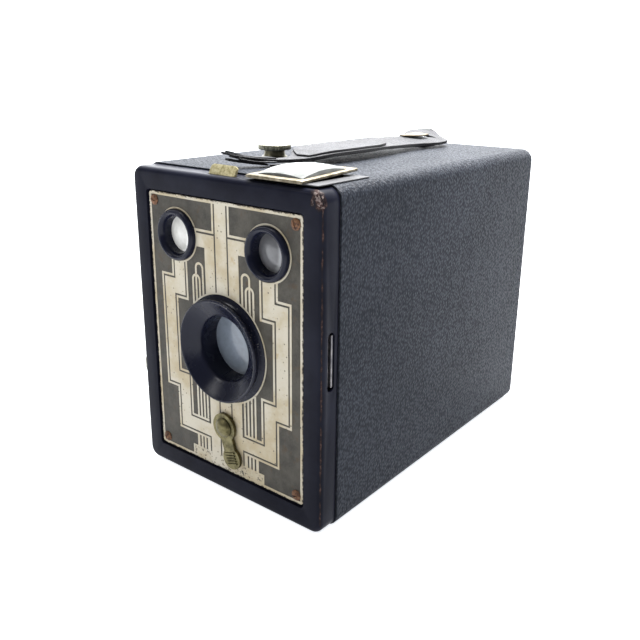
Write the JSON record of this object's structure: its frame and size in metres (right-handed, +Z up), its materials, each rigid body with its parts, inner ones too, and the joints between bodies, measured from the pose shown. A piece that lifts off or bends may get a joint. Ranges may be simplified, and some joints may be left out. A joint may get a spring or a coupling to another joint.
{
  "type": "box camera",
  "caption": "Box camera for roll film, covered in black leatherette, with a cream and grey stepped face plate, a hooded lens, two finders and a worn strap.",
  "frame": {"origin": "mouth of the tripod socket, at the centre of the body's underside", "axes": "+Z up, -Y the way the lens looks, +X the side without the winding key"},
  "size_m": [0.088, 0.1317, 0.1071],
  "materials": {
    "leatherette": "matt",
    "enamel_black": "gloss",
    "plate_cream": "satin",
    "plate_dark": "satin",
    "steel": "satin",
    "blackened_steel": "matt",
    "nickel": "satin",
    "brass": "satin",
    "rusty_screw": "matt",
    "glass": "gloss",
    "ruby_glass": "gloss",
    "mirror": "gloss",
    "strap_leather": "matt",
    "spool_paint": "satin"
  },
  "bodies": {
    "root": {"sleeve_top": "blackened_steel", "sleeve_right": "blackened_steel", "sleeve_floor": "blackened_steel", "sleeve_left": "blackened_steel", "sleeve_back": "blackened_steel", "leatherette": "leatherette", "leatherette_floor": "leatherette", "pressure_plate": "blackened_steel", "pressure_springs": "steel", "ruby_ring": "enamel_black", "ruby_window": "ruby_glass", "tripod_bush": "nickel", "strap": "strap_leather", "strap_clip_front": "nickel", "strap_clip_rear": "nickel"},
    "lock_screw": {"lock_knob": "brass"},
    "lock_nut": {"clamp_nut": "steel"},
    "front": {"front_panel": "enamel_black", "face_plate": "plate_cream", "plate_enamel": "plate_dark", "plate_screws": "rusty_screw", "lens_hood": "enamel_black", "front_glass": "glass", "glass_ring": "steel", "bezels": "enamel_black", "finder_lenses": "glass", "finder_box_top": "blackened_steel", "finder_box_side": "blackened_steel", "finder_mirrors": "mirror", "top_screen_frame": "nickel", "top_screen": "glass", "side_screen_frame": "nickel", "side_screen": "glass", "shutter_board": "blackened_steel", "shutter_pins": "steel", "shutter_spring": "steel", "stop_plate": "blackened_steel", "lens_cell": "blackened_steel", "main_lens": "glass", "cone_front": "blackened_steel", "cone_top_floor": "blackened_steel", "cone_sides": "blackened_steel", "film_carrier": "blackened_steel", "film_gate": "blackened_steel", "film_pins": "steel"},
    "disc": {"shutter_disc": "blackened_steel"},
    "release": {"release_lever": "brass"},
    "time": {"time_tab": "brass"},
    "selector": {"selector_lever": "brass", "selector_rivet": "brass", "close_up_arm": "steel", "close_up_lens": "glass"},
    "catch": {"front_catch": "nickel"},
    "roller_t": {"roller_top": "nickel"},
    "roller_b": {"roller_bottom": "nickel"},
    "supply": {"supply_spool": "spool_paint"},
    "takeup": {"takeup_spool": "spool_paint"},
    "key_slide": {"key_collar": "steel"},
    "key": {"key_shaft": "steel", "winding_key": "nickel"}
  },
  "joints": [
    {"name": "front_draw", "type": "slide", "parent": "root", "child": "front", "axis": [0, -1, 0], "range_m": [0, 0.122]},
    {"name": "lock_turn", "type": "hinge", "parent": "root", "child": "lock_screw", "pos_m": [-0.013, -0.0255, 0.102], "axis": [0, 0, -1], "range_deg": [0, 540]},
    {"name": "lock_nut_lift", "type": "slide", "parent": "root", "child": "lock_nut", "axis": [0, 0, 1], "range_m": [0, 0.00106]},
    {"name": "release_press", "type": "hinge", "parent": "front", "child": "release", "pos_m": [-0.027, -0.0604, 0.033], "axis": [0, -1, 0], "range_deg": [0, 20], "stiffness_Nm_per_rad": 0.02, "springref_deg": -5.73},
    {"name": "shutter_turn", "type": "hinge", "parent": "front", "child": "disc", "pos_m": [0.0125, -0.0473, 0.0494], "axis": [0, -1, 0], "range_deg": [0, 100.5]},
    {"name": "time_lift", "type": "slide", "parent": "front", "child": "time", "axis": [0, 0, 1], "range_m": [0, 0.004]},
    {"name": "selector_turn", "type": "hinge", "parent": "front", "child": "selector", "pos_m": [0, -0.064, 0.0236], "axis": [0, 1, 0], "range_deg": [0, 35]},
    {"name": "catch_press", "type": "hinge", "parent": "front", "child": "catch", "pos_m": [0.0367, -0.0429, 0.054], "axis": [0, 0, -1], "range_deg": [0, 2], "stiffness_Nm_per_rad": 0.1},
    {"name": "roller_top_spin", "type": "hinge", "parent": "front", "child": "roller_t", "pos_m": [0, 0.0552, 0.0937], "axis": [1, 0, 0], "continuous": true},
    {"name": "roller_bottom_spin", "type": "hinge", "parent": "front", "child": "roller_b", "pos_m": [0, 0.0552, 0.0051], "axis": [1, 0, 0], "continuous": true},
    {"name": "supply_spin", "type": "hinge", "parent": "front", "child": "supply", "pos_m": [0, -0.022, 0.0154], "axis": [1, 0, 0], "continuous": true},
    {"name": "takeup_spin", "type": "hinge", "parent": "front", "child": "takeup", "pos_m": [0, -0.022, 0.0834], "axis": [1, 0, 0], "continuous": true},
    {"name": "key_pull", "type": "slide", "parent": "front", "child": "key_slide", "axis": [-1, 0, 0], "range_m": [0, 0.0043]},
    {"name": "key_turn", "type": "hinge", "parent": "key_slide", "child": "key", "pos_m": [-0.04, -0.022, 0.0834], "axis": [1, 0, 0], "continuous": true}
  ],
  "couplings": [
    {"joint": "shutter_turn", "follows": "release_press", "ratio": 5},
    {"joint": "takeup_spin", "follows": "key_turn", "ratio": 1}
  ]
}
